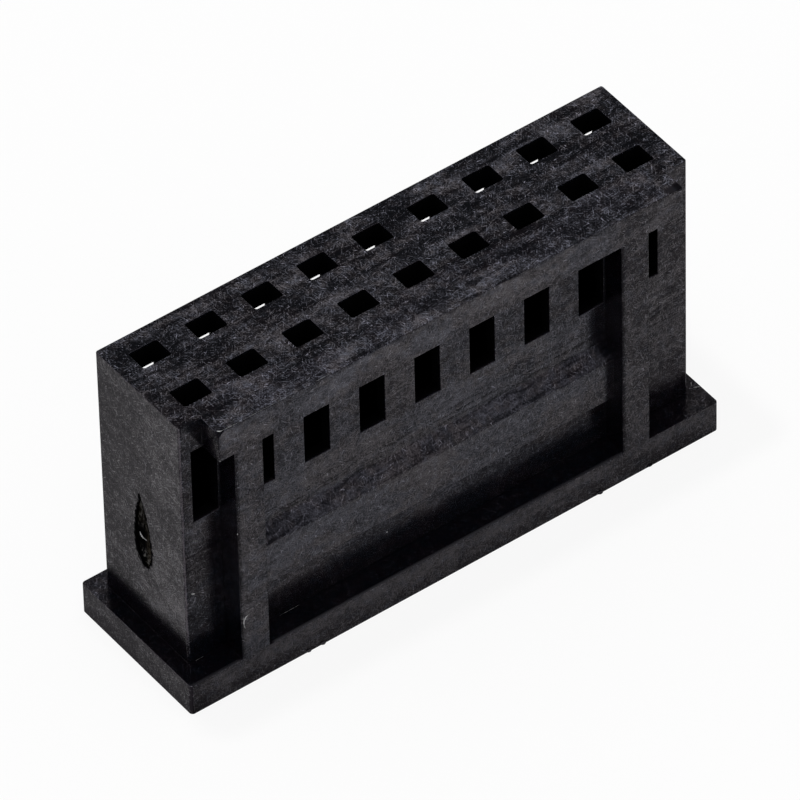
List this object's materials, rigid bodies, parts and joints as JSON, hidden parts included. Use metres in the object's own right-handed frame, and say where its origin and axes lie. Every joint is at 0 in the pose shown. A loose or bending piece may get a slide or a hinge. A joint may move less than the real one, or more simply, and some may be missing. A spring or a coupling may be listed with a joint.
{
  "type": "female connector housing",
  "caption": "Moulded double-row socket housing for crimp contacts, with a wire-side flange, lance windows, front guide ribs and a lock bar.",
  "frame": {"origin": "centre of the bounding box, on the underside of the wire-side flange", "axes": "+Z from the wire side to the mating face, X along the rows of contacts, -Y towards the ribbed front with the lock bar"},
  "size_m": [0.0194, 0.0054, 0.0107],
  "materials": {
    "housing": "black glass-fibre-filled moulding with fine bright fibre flecks"
  },
  "bodies": {
    "root": {"housing": "housing"}
  },
  "joints": []
}
